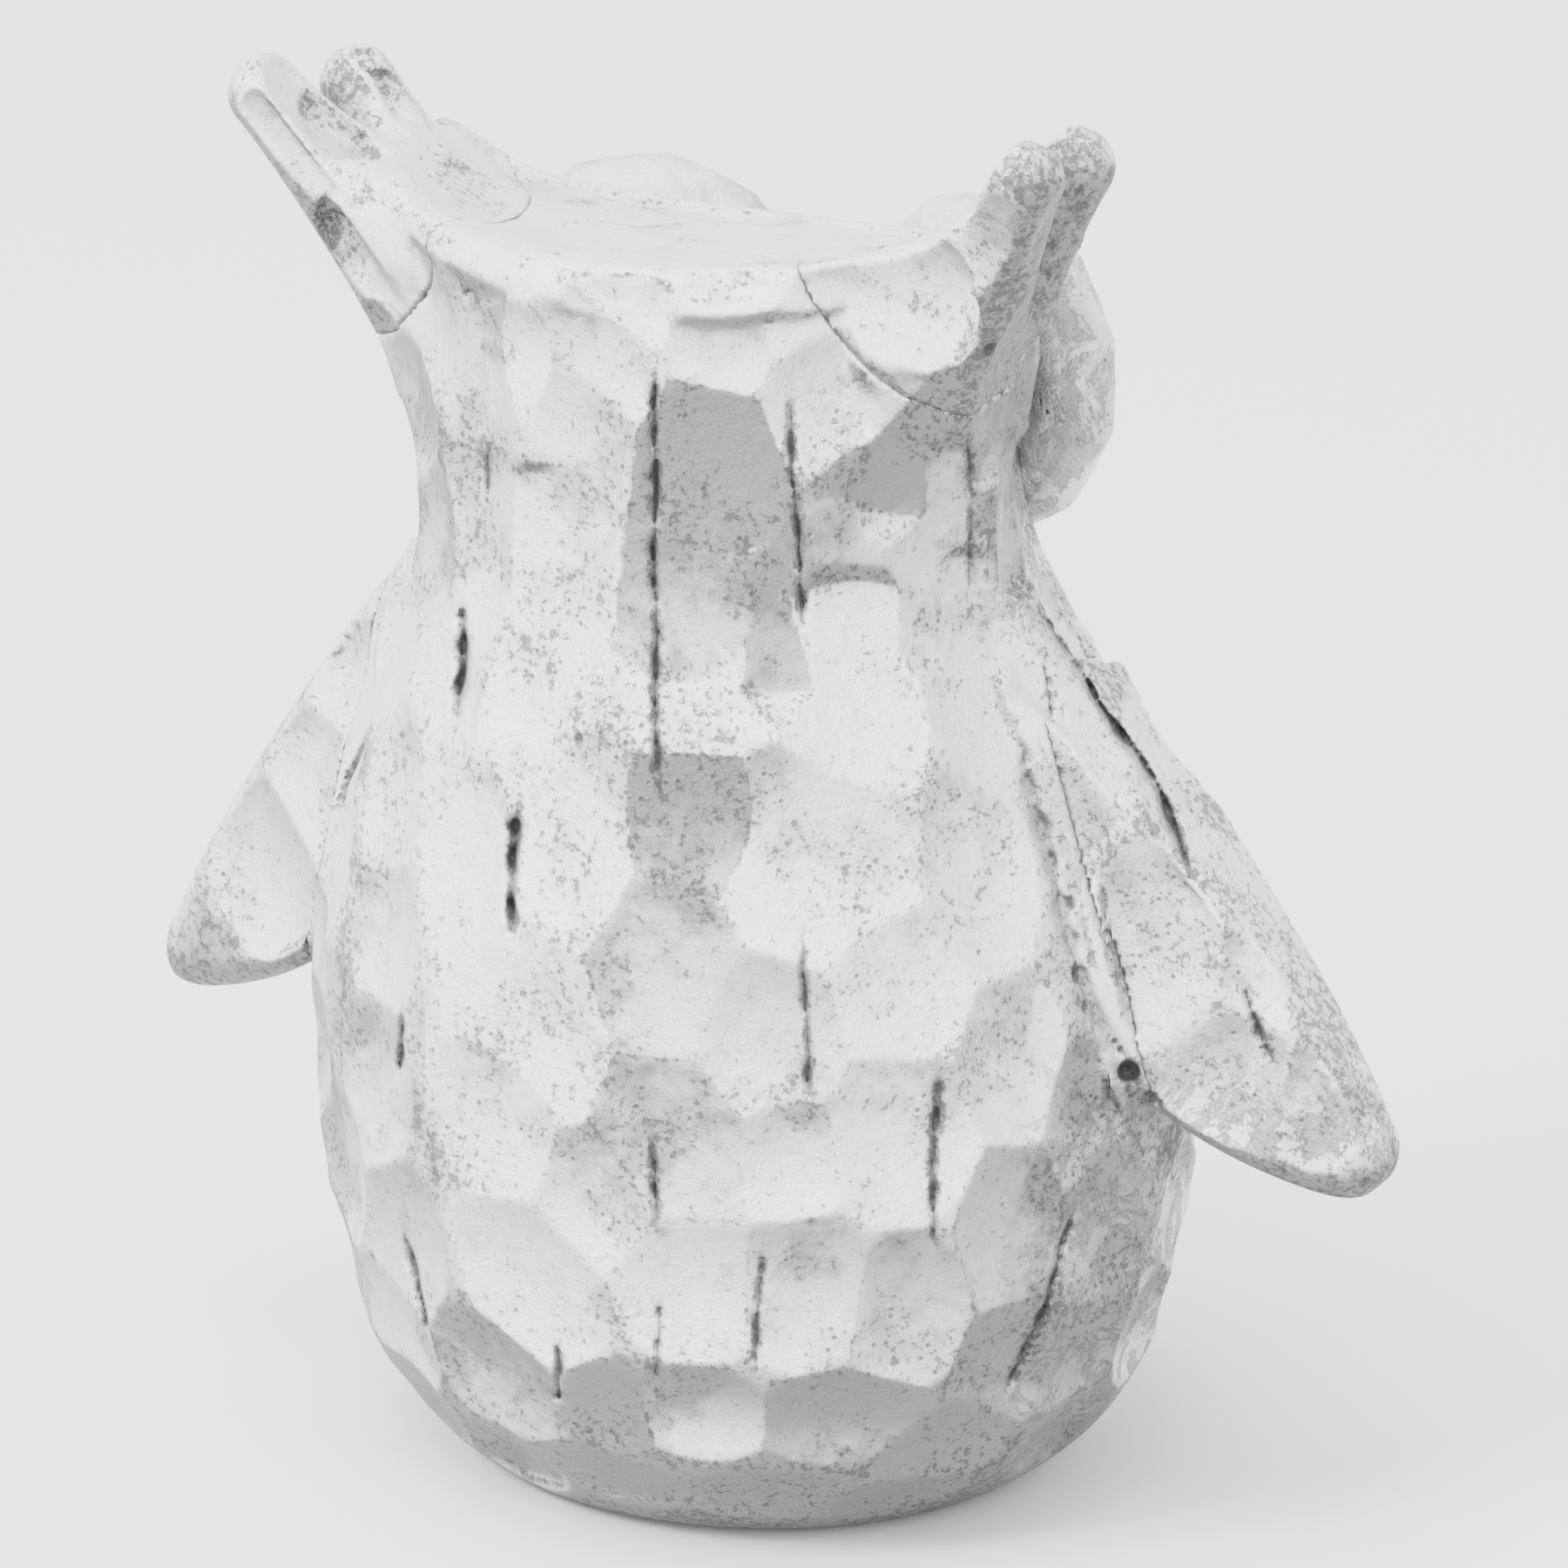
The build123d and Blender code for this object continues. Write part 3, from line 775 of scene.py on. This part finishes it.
def thin_out(piece, limit):
    """Merges triangles where the surface is plain until at most limit are left."""
    piece.data.calc_loop_triangles()
    count = len(piece.data.loop_triangles)
    if count <= limit:
        return
    thinner = piece.modifiers.new("Thin", "DECIMATE")
    thinner.ratio = limit / count
    bpy.context.view_layer.update()
    thin = piece.evaluated_get(bpy.context.evaluated_depsgraph_get())
    thinned = bpy.data.meshes.new_from_object(thin)
    piece.modifiers.clear()
    old = piece.data
    piece.data = thinned
    bpy.data.meshes.remove(old)


def add_surface_values(piece):
    """Stores the carving's ridge, dullness with painted shade, and split strengths on the piece's points.
    """
    mesh = piece.data
    places = np.empty(len(mesh.vertices) * 3, np.float32)
    mesh.vertices.foreach_get("co", places)
    normals = np.empty(len(mesh.vertices) * 3, np.float32)
    mesh.vertices.foreach_get("normal", normals)
    values = carving().surface_values(places.reshape(-1, 3) / MM, normals.reshape(-1, 3))
    for name, value in zip(("ridge", "tone", "split"), values):
        layer = mesh.attributes.new(name, "FLOAT", "POINT")
        layer.data.foreach_set("value", value.astype(np.float32))


def add_casting(name, node, low, high, joint=None):
    """One casting of the carved skin, standing for its CAD node."""
    points, quads = carving().casting(low, high, joint)
    if not quads:
        raise RuntimeError(f"{name} came out empty")
    piece = make_object(name, points, quads, leaf_finish())
    thin_out(piece, bpy.context.scene.owl_form.face_limit)
    add_surface_values(piece)
    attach(piece, "root")
    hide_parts(node)


def add_pair(part, node, space, joint):
    """The left and right castings of a part, given the left one's space."""
    (near, *low), (far, *high) = space
    for side, word in SIDES:
        start, end = sorted((side * near, side * far))
        add_casting(
            f"{word}_{part}", f"{word}_{node}", (start, *low), (end, *high),
            lambda x, y, z, side=side: joint(side, x, y, z),
        )


def turned_shape(section, turns, waver):
    """Points and faces of a section turned round its axis, pushed in by waver(distance, height, turn)."""
    curve = []
    for (r, h), (next_r, next_h) in zip(section, section[1:]):
        steps = max(1, round(math.hypot(next_r - r, next_h - h) / 0.8))
        curve += [(r + (next_r - r) * k / steps, h + (next_h - h) * k / steps) for k in range(steps)]
    curve = np.array(curve[1:], float)
    for _ in range(2):
        curve[1:-1] = (curve[:-2] + 2 * curve[1:-1] + curve[2:]) / 4
    tangent = np.gradient(curve, axis=0)
    normal = np.stack([-tangent[:, 1], tangent[:, 0]], axis=1)
    normal /= np.linalg.norm(normal, axis=1)[:, None]
    angles = 2 * math.pi * np.arange(turns) / turns
    rings = []
    for (reach, height), (nr, nh) in zip(curve, normal):
        push = waver(reach, height, angles)
        r = reach - nr * push
        h = height - nh * push
        rings.append(np.stack([r * np.cos(angles), r * np.sin(angles), h], axis=1))
    points = np.concatenate(rings + [[[0, 0, section[0][1]], [0, 0, section[-1][1]]]])
    faces = []
    last_ring = (len(curve) - 1) * turns
    middle = len(curve) * turns
    for k in range(turns):
        n = (k + 1) % turns
        for ring in range(0, last_ring, turns):
            faces.append((ring + k, ring + n, ring + turns + n, ring + turns + k))
        faces.append((middle, n, k))
        faces.append((middle + 1, last_ring + k, last_ring + n))
    return points, faces


def add_turned(name, node, side, section, waver, dullness):
    """A disc or dome that sits on one side's eye plane."""
    points, faces = turned_shape(section, EYE_FACES, waver)
    facing = np.array((side * math.sin(EYE_TURN), -math.cos(EYE_TURN), 0))
    level = np.array((math.cos(EYE_TURN), side * math.sin(EYE_TURN), 0))
    rising = np.array((0.0, 0.0, 1.0))
    centre = np.array((side * EYE_CENTRE[0], EYE_CENTRE[1], EYE_CENTRE[2]))
    placed = centre + points[:, :1] * level + points[:, 1:2] * rising + points[:, 2:] * facing
    piece = make_object(name, placed * MM, faces, leaf_finish())
    tone = piece.data.attributes.new("tone", "FLOAT", "POINT")
    tone.data.foreach_set("value", np.full(len(piece.data.vertices), dullness, np.float32))
    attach(piece, "root")
    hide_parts(node)


def beak_width(y):
    """Half the beak's width at a distance forward."""
    return BEAK_HALF_WIDTH * (1 - BEAK_NARROWING * np.clip((BEAK_ROOT - y) / BEAK_LENGTH, 0, 1))


def beak_skin():
    """Points and quads of the hooked beak, with scoops along its flanks."""
    low, high = (np.array(corner) for corner in BEAK_SPACE)
    x, y, z = grid_axes(low, high, BEAK_CELL)
    side = outline_field(y, z, smooth_outline(BEAK_OUTLINE, 4))
    form = soft_max(side, np.abs(x) - beak_width(y), BEAK_ROUNDING)
    for scoop_y, scoop_z in BEAK_SCOOPS:
        away = (np.abs(x) - SCOOP_RADIUS) ** 2 + (y - scoop_y) ** 2 + (z - scoop_z) ** 2
        scoop = SCOOP_RADIUS - beak_width(scoop_y) + SCOOP_DEPTH - np.sqrt(away)
        form = soft_max(form, scoop, SCOOP_SOFTNESS)
    return skin_of(form, low, BEAK_CELL)


# ---- shader building
class Wire:
    """A shader output that sums can be written with."""

    def __init__(self, tree, socket):
        self.tree = tree
        self.socket = socket

    def math(self, operation, *others, first=None):
        """A maths node on this output, or on first when that is given, and the others."""
        node = self.tree.nodes.new("ShaderNodeMath")
        node.operation = operation
        for entry, value in zip(node.inputs, (self if first is None else first, *others)):
            plug(self.tree, entry, value)
        return Wire(self.tree, node.outputs[0])

    def __add__(self, other):
        return self.math("ADD", other)

    __radd__ = __add__

    def __sub__(self, other):
        return self.math("SUBTRACT", other)

    def __rsub__(self, other):
        return self.math("SUBTRACT", self, first=other)

    def __mul__(self, other):
        return self.math("MULTIPLY", other)

    __rmul__ = __mul__

    def __truediv__(self, other):
        return self.math("DIVIDE", other)

    def __rtruediv__(self, other):
        return self.math("DIVIDE", self, first=other)

    def highest(self, other):
        return self.math("MAXIMUM", other)


def plug(tree, entry, value):
    """Sets a shader input, or links it."""
    if isinstance(value, Wire):
        tree.links.new(value.socket, entry)
    elif hasattr(value, "__len__"):
        value = tuple(value)
        entry.default_value = value + (1.0,) if entry.type == "RGBA" and len(value) == 3 else value
    else:
        entry.default_value = value


class Finish:
    """A material under construction."""

    def __init__(self, name):
        self.material = bpy.data.materials.new(name)
        self.material.use_nodes = True
        self.tree = self.material.node_tree
        self.tree.nodes.clear()
        self.output = self.tree.nodes.new("ShaderNodeOutputMaterial")
        self.place = self.node("ShaderNodeTexCoord", {}, {}, "Object")

    def node(self, kind, settings, values, output=0):
        """A node of any kind: settings first, then its inputs, giving one output."""
        node = self.tree.nodes.new(kind)
        for key, value in settings.items():
            setattr(node, key, value)
        for key, value in values.items():
            plug(self.tree, node.inputs[key], value)
        return Wire(self.tree, node.outputs[output])

    def noise(self, scale, detail=4.0, roughness=0.5, distortion=0.0):
        values = {
            "Vector": self.place, "Scale": scale, "Detail": detail, "Roughness": roughness,
            "Distortion": distortion,
        }
        return self.node("ShaderNodeTexNoise", {}, values)

    def cells(self, scale):
        values = {"Vector": self.place, "Scale": scale}
        return self.node("ShaderNodeTexVoronoi", {}, values, "Distance")

    def point_value(self, name):
        return self.node("ShaderNodeAttribute", {"attribute_name": name}, {}, "Fac")

    def between(self, value, low, high):
        """0 below low, 1 above high, smooth in between."""
        values = {0: value, 1: low, 2: high, 3: 0.0, 4: 1.0}
        return self.node("ShaderNodeMapRange", {"interpolation_type": "SMOOTHSTEP"}, values)

    def mix(self, share, a, b):
        settings = {"data_type": "RGBA", "clamp_factor": True}
        return self.node("ShaderNodeMix", settings, {0: share, 6: a, 7: b}, 2)

    def bump(self, height, distance):
        values = {"Height": height, "Distance": distance, "Strength": 1.0}
        return self.node("ShaderNodeBump", {}, values)

    def close(self, **values):
        """Ends the material in one surface shader with these inputs."""
        named = {key.replace("_", " "): value for key, value in values.items()}
        surface = self.node("ShaderNodeBsdfPrincipled", {}, named)
        self.tree.links.new(surface.socket, self.output.inputs["Surface"])
        return self.material


finishes = {}


def leaf_finish():
    """Imitation silver leaf over dark bole: cloudy, rubbed on the ridges, tarnished in the splits, with
    painted shade on down-turned facets and on the facets listed as dark.
    """
    if "leaf" in finishes:
        return finishes["leaf"]
    colours = bpy.context.scene.owl_finish
    leaf = Finish("silver_leaf")
    cloud = leaf.noise(45, 5, 0.6)
    mottle = leaf.noise(190, 9, 0.7, 0.3)
    grain = leaf.noise(1100, 4, 0.65)
    ridge, tone, split = (leaf.point_value(name) for name in ("ridge", "tone", "split"))
    patch = leaf.between(cloud + 0.25 * (mottle - 0.5), 0.42, 0.62)
    # The dullness channel holds painted shade as well as dullness, so this mask darkens the leaf both
    # where it is rubbed and where shade is painted.
    rub_and_shade = 0.20 * patch + 0.22 * mottle + 0.74 * tone + 0.22 * ridge
    wear_and_shade = leaf.between(rub_and_shade, 0.26, 0.98)
    specks = leaf.noise(560, 6, 0.75)
    dirt = leaf.between(specks + 0.19 * ridge + 0.07 * patch, 0.72, 0.82)
    # The leaf peels on the lower flank and up the neck, both on the owl's right.
    x, y, z = (leaf.node("ShaderNodeSeparateXYZ", {}, {0: leaf.place}, k) for k in range(3))
    across, rear = sideways(x, y), behind(x, y)
    flank = leaf.between(across, 0.050, 0.066) * (1 - leaf.between(z, 0.09, 0.125))
    flank = flank * leaf.between(rear, -0.01, 0.03)
    neck = leaf.between(across, 0.042, 0.056) * leaf.between(z, 0.185, 0.21)
    peel = leaf.between(leaf.noise(85, 9, 0.74, 0.5), 0.49, 0.53) * flank.highest(0.7 * neck)
    dotted = leaf.between(cloud + 0.1 * ridge, 0.52, 0.62)
    dots = (1 - leaf.between(leaf.cells(330), 0.08, 0.22)) * dotted
    dark = (dirt * 0.75).highest(dots * 0.8).highest(split * 0.92)
    # Real wear and painted shade both take the leaf to its dark worn colour here.
    colour = leaf.mix(wear_and_shade, colours.leaf, colours.worn_and_shaded_leaf)
    colour = leaf.mix(peel * 0.75, colour, colours.worn_and_shaded_leaf)
    colour = leaf.mix(dark, colour, colours.tarnish)
    height = 0.7 * mottle + 0.45 * grain - 0.5 * dots - 0.25 * dirt - 0.5 * peel
    finishes["leaf"] = leaf.close(
        Base_Color=colour,
        Metallic=0.8 - 0.6 * dark.highest(peel * 0.5),
        Roughness=0.22 + 0.12 * mottle + 0.16 * wear_and_shade + 0.2 * dark.highest(peel),
        Normal=leaf.bump(height, 0.0013),
    )
    return finishes["leaf"]


def plain_finish(name, light, dark, scale, metallic, roughness, bump):
    """A finish that varies between two tones, for the parts under the base and the pins."""
    if name in finishes:
        return finishes[name]
    finish = Finish(name)
    blotch = finish.noise(scale, 6, 0.6)
    grain = finish.noise(scale * 7, 4, 0.6)
    finishes[name] = finish.close(
        Base_Color=finish.mix(finish.between(blotch, 0.35, 0.7), light, dark),
        Metallic=metallic,
        Roughness=roughness - 0.1 + 0.2 * grain,
        Normal=finish.bump(blotch * 0.4 + grain, bump),
    )
    return finishes[name]


# ---- studio settings, in metres
# Name, kind, place, size (an angle for the sun) and power of each light. All point at AIM_HEIGHT.
LAMPS = (
    ("overhead", "SUN", (0.15, 0.35, 1.6), math.radians(35), 4),
    ("key", "AREA", (0.8, 1.25, 1.3), 0.5, 60),
    ("fill", "AREA", (-1.6, 0.6, 0.7), 0.6, 5),
)
AIM_HEIGHT = 0.15
SKY_STRENGTH = 3.0
FLOOR_HALF = 9
CAMERA_AIM = (-0.0054, -0.0029, 0.151)
CAMERA_AZIMUTH = 208
CAMERA_ELEVATION = 18
CAMERA_DISTANCE = 1.52
CAMERA_LENS = 160
CAMERA_SENSOR = 36


# ---- operators
class OWL_OT_body(bpy.types.Operator):
    """Cast the body, parted from the ears and wings"""

    bl_idname = "owl.body"
    bl_label = "Body"

    def execute(self, context):
        add_casting("body_carving", "body_shell", *OWL_SPACE)
        return {"FINISHED"}


class OWL_OT_ears(bpy.types.Operator):
    """Cast both ear tufts"""

    bl_idname = "owl.ears"
    bl_label = "Ear tufts"

    def execute(self, context):
        add_pair("ear_carving", "ear_tuft", EAR_SPACE, ear_side)
        return {"FINISHED"}


class OWL_OT_wings(bpy.types.Operator):
    """Cast both wings"""

    bl_idname = "owl.wings"
    bl_label = "Wings"

    def execute(self, context):
        add_pair("wing_carving", "wing", WING_SPACE, wing_side)
        return {"FINISHED"}


class OWL_OT_eyes(bpy.types.Operator):
    """Turn the eye discs and pupils, fluted by a small gouge"""

    bl_idname = "owl.eyes"
    bl_label = "Eyes"

    def execute(self, context):
        rng = random.Random(context.scene.owl_form.seed)
        jitter = np.array([rng.uniform(-0.25, 0.25) for _ in range(EYE_FLUTES)])
        deep = np.array([rng.uniform(0.6, 1.2) for _ in range(EYE_FLUTES)])

        def flute(reach, height, angles):
            """Gouged rays over the dish and small notches in its rim."""
            turn = angles * EYE_FLUTES / (2 * math.pi)
            number = np.floor(turn).astype(int) % EYE_FLUTES
            inner = (turn % 1 - 0.5 - 0.3 * jitter[number]) * 2
            bowl = np.clip(1 - inner**2, 0, 1)
            band = math.exp(-(((reach - 24) / 8) ** 2)) if height > 0 else 0.25
            rim = 0.8 if reach > 31 else 0.0
            notch = np.clip(1 - ((turn * 0.5 % 1 - 0.5) * 2) ** 2, 0, 1)
            return deep[number] * bowl * band + rim * notch

        def facet(reach, height, angles):
            """Flats round the pupil's shoulder."""
            if height < 0.5:
                return 0 * angles
            turn = angles * PUPIL_FACETS / (2 * math.pi)
            bowl = np.clip(1 - ((turn % 1 - 0.5) * 2) ** 2, 0, 1)
            return 0.7 * bowl * math.exp(-(((reach - 8) / 4) ** 2))

        for side, word in SIDES:
            disc, pupil = f"{word}_eye_disc", f"{word}_pupil"
            add_turned(f"{word}_eye_dish", disc, side, EYE_SECTION, flute, 0.45)
            add_turned(f"{word}_pupil_dome", pupil, side, PUPIL_SECTION, facet, 1.1)
        return {"FINISHED"}


class OWL_OT_beak(bpy.types.Operator):
    """Carve the beak"""

    bl_idname = "owl.beak"
    bl_label = "Beak"

    def execute(self, context):
        points, quads = beak_skin()
        piece = make_object("beak_carving", points, quads, leaf_finish())
        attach(piece, "root")
        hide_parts("beak")
        return {"FINISHED"}


class OWL_OT_base(bpy.types.Operator):
    """Finish the plate, plug, felt and pins"""

    bl_idname = "owl.base"
    bl_label = "Base and pins"

    def execute(self, context):
        felt = tuple(context.scene.owl_finish.felt)
        pale_felt = tuple(min(1, 2.2 * c) for c in felt)
        resin = plain_finish("bare_casting", (0.55, 0.52, 0.46), (0.4, 0.37, 0.32), 60, 0, 0.7, 0.0006)
        rubber = plain_finish("plug_rubber", (0.03, 0.03, 0.03), (0.06, 0.06, 0.06), 90, 0, 0.6, 0.0003)
        cloth = plain_finish("felt", pale_felt, felt, 700, 0, 0.95, 0.0015)
        steel = plain_finish("pin_steel", (0.6, 0.6, 0.6), (0.42, 0.42, 0.42), 300, 1, 0.35, 0.0001)
        for node, finish in (
            ("base_plate", resin), ("vent_plug", rubber), ("felt_pad", cloth),
            ("wing_pins", steel), ("ear_pins", steel),
        ):
            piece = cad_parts[node]
            if not piece.material_slots:
                raise RuntimeError(f"{node} has no material slot")
            for entry in piece.material_slots:
                entry.material = finish
        return {"FINISHED"}


class OWL_OT_studio(bpy.types.Operator):
    """Set the floor, the lights and the camera"""

    bl_idname = "owl.studio"
    bl_label = "Studio"

    def execute(self, context):
        scene = context.scene
        floor = bpy.data.meshes.new("floor")
        corners = [(x * FLOOR_HALF, y * FLOOR_HALF, 0) for x, y in ((-1, -1), (1, -1), (1, 1), (-1, 1))]
        floor.from_pydata(corners, [], [(0, 1, 2, 3)])
        floor_piece = bpy.data.objects.new("floor", floor)
        scene.collection.objects.link(floor_piece)
        paper = Finish("studio_paper")
        colour = tuple(scene.owl_finish.floor)
        grain = paper.noise(400, 3)
        floor.materials.append(paper.close(
            Base_Color=paper.mix(grain, colour, tuple(0.97 * c for c in colour)), Roughness=0.9,
        ))
        for name, kind, place, size, power in LAMPS:
            lamp = bpy.data.lights.new(name, kind)
            lamp.energy = power
            if kind == "SUN":
                lamp.angle = size
            else:
                lamp.size = size
            light = bpy.data.objects.new(name, lamp)
            light.location = place
            back = light.location - Vector((0, 0, AIM_HEIGHT))
            light.rotation_euler = back.to_track_quat("Z", "Y").to_euler()
            scene.collection.objects.link(light)
        world = bpy.data.worlds.new("studio")
        world.use_nodes = True
        sky = world.node_tree.nodes["Background"]
        sky.inputs["Color"].default_value = (1, 1, 1, 1)
        sky.inputs["Strength"].default_value = SKY_STRENGTH
        scene.world = world
        lens = bpy.data.cameras.new("camera")
        lens.lens = CAMERA_LENS
        lens.sensor_width = CAMERA_SENSOR
        lens.clip_end = 50
        camera = bpy.data.objects.new("camera", lens)
        back = towards_camera(CAMERA_AZIMUTH, CAMERA_ELEVATION)
        camera.location = Vector(CAMERA_AIM) + CAMERA_DISTANCE * back
        camera.rotation_euler = back.to_track_quat("Z", "Y").to_euler()
        scene.collection.objects.link(camera)
        scene.camera = camera
        return {"FINISHED"}


def towards_camera(azimuth, elevation):
    """The unit direction from the owl towards a camera at that azimuth and elevation in degrees."""
    a, e = math.radians(azimuth), math.radians(elevation)
    return Vector((math.sin(a) * math.cos(e), -math.cos(a) * math.cos(e), math.sin(e)))


OPERATORS = (
    OWL_OT_body, OWL_OT_ears, OWL_OT_wings, OWL_OT_eyes, OWL_OT_beak, OWL_OT_base, OWL_OT_studio,
)


class OWL_PT_panel(bpy.types.Panel):
    """Lists the owl's pieces"""

    bl_idname = "OWL_PT_panel"
    bl_label = "Silver leaf owl"
    bl_space_type = "VIEW_3D"
    bl_region_type = "UI"
    bl_category = "Owl"

    def draw(self, context):
        for group in (context.scene.owl_form, context.scene.owl_finish):
            for name in group.__annotations__:
                self.layout.prop(group, name)
        for operator in OPERATORS:
            self.layout.operator(operator.bl_idname)


CLASSES = (OwlForm, OwlFinish, *OPERATORS, OWL_PT_panel)


def register():
    for item in CLASSES:
        bpy.utils.register_class(item)
    bpy.types.Scene.owl_form = PointerProperty(type=OwlForm)
    bpy.types.Scene.owl_finish = PointerProperty(type=OwlFinish)


def unregister():
    del bpy.types.Scene.owl_finish
    del bpy.types.Scene.owl_form
    for item in reversed(CLASSES):
        bpy.utils.unregister_class(item)


def main():
    register()
    bpy.ops.owl.body()
    bpy.ops.owl.ears()
    bpy.ops.owl.wings()
    bpy.ops.owl.eyes()
    bpy.ops.owl.beak()
    bpy.ops.owl.base()
    bpy.ops.owl.studio()


if __name__ == "__main__":
    main()
